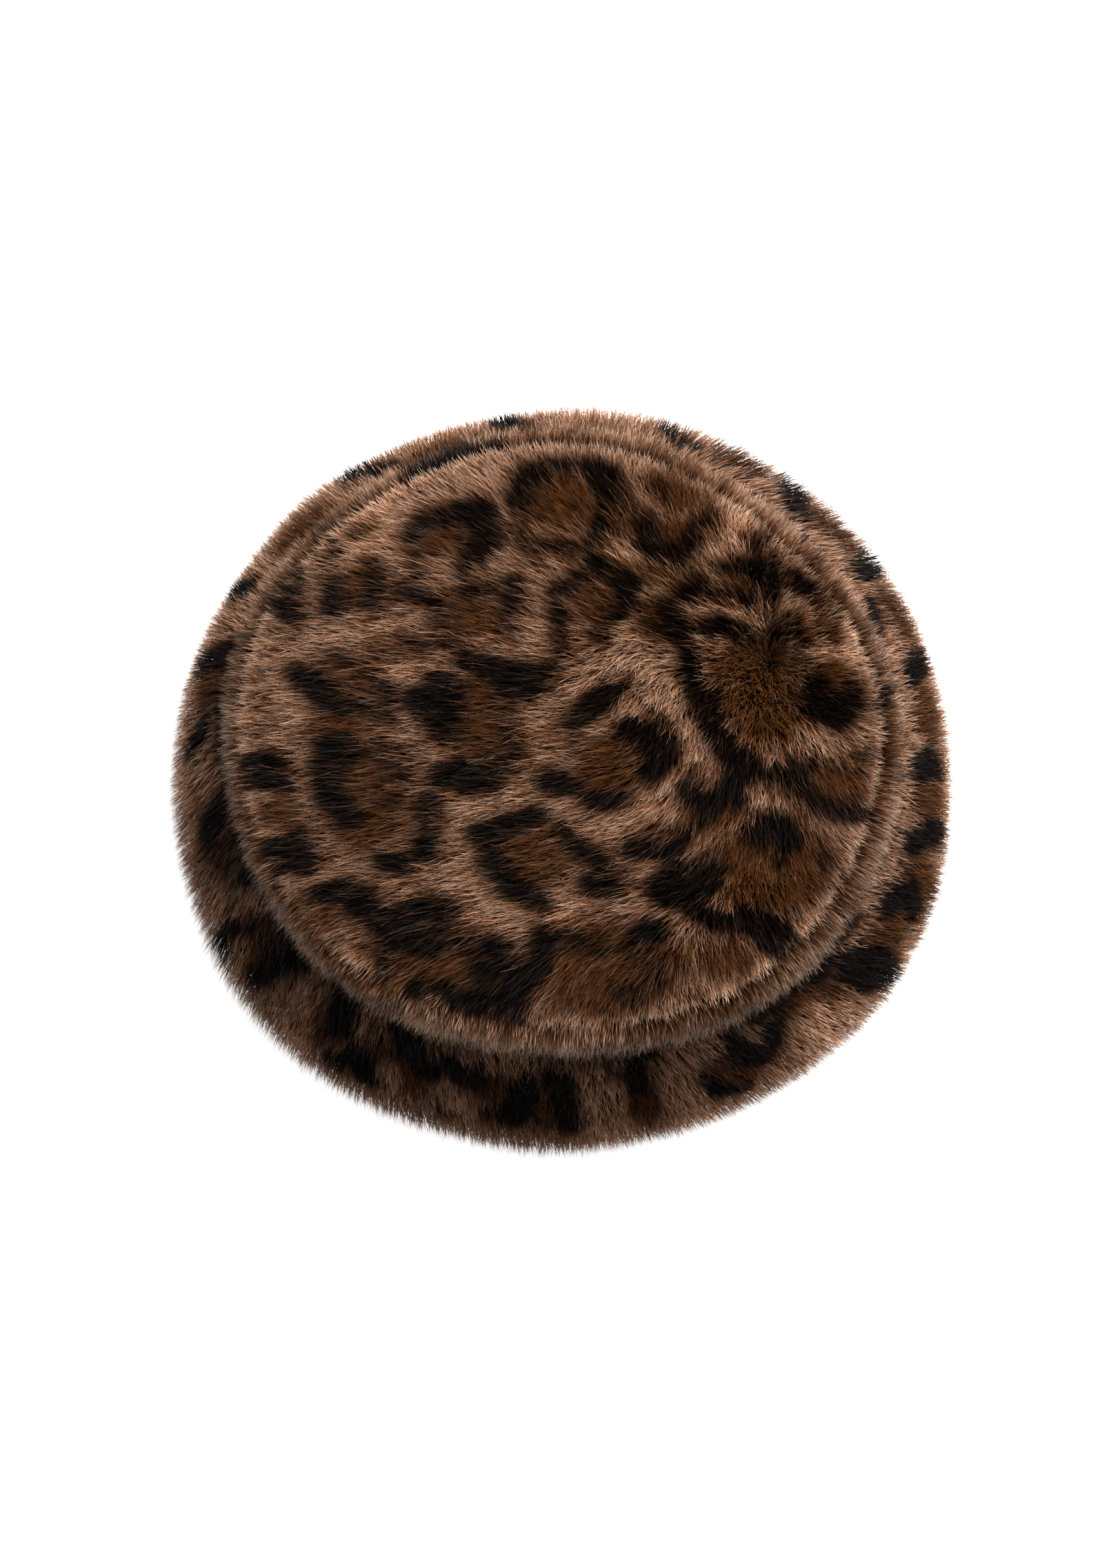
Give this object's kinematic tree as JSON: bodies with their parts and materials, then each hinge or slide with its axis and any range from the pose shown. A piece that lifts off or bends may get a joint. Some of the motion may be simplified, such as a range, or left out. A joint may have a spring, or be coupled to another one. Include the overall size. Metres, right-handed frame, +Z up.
{
  "type": "faux fur bucket hat",
  "caption": "Soft bucket hat in long-piled faux fur with a leopard rosette print: an oval flat-topped crown, an upright side band and a short sloping brim, open underneath for the head.",
  "frame": {"origin": "bottom centre of the bounding box: the middle of the oval that the brim's edge rests on", "axes": "+Z up, +X along the head from back to front, the hat's longest way, and +Y across the head"},
  "size_m": [0.2756, 0.2629, 0.141],
  "materials": {
    "leopard_fur": "long combed faux fur pile, leopard print, soft gloss",
    "knitted_backing": "plain matt knitted backing of the fur cloth"
  },
  "bodies": {
    "root": {"crown_tip": "leopard_fur", "crown_band": "leopard_fur", "brim": "leopard_fur"}
  },
  "joints": []
}
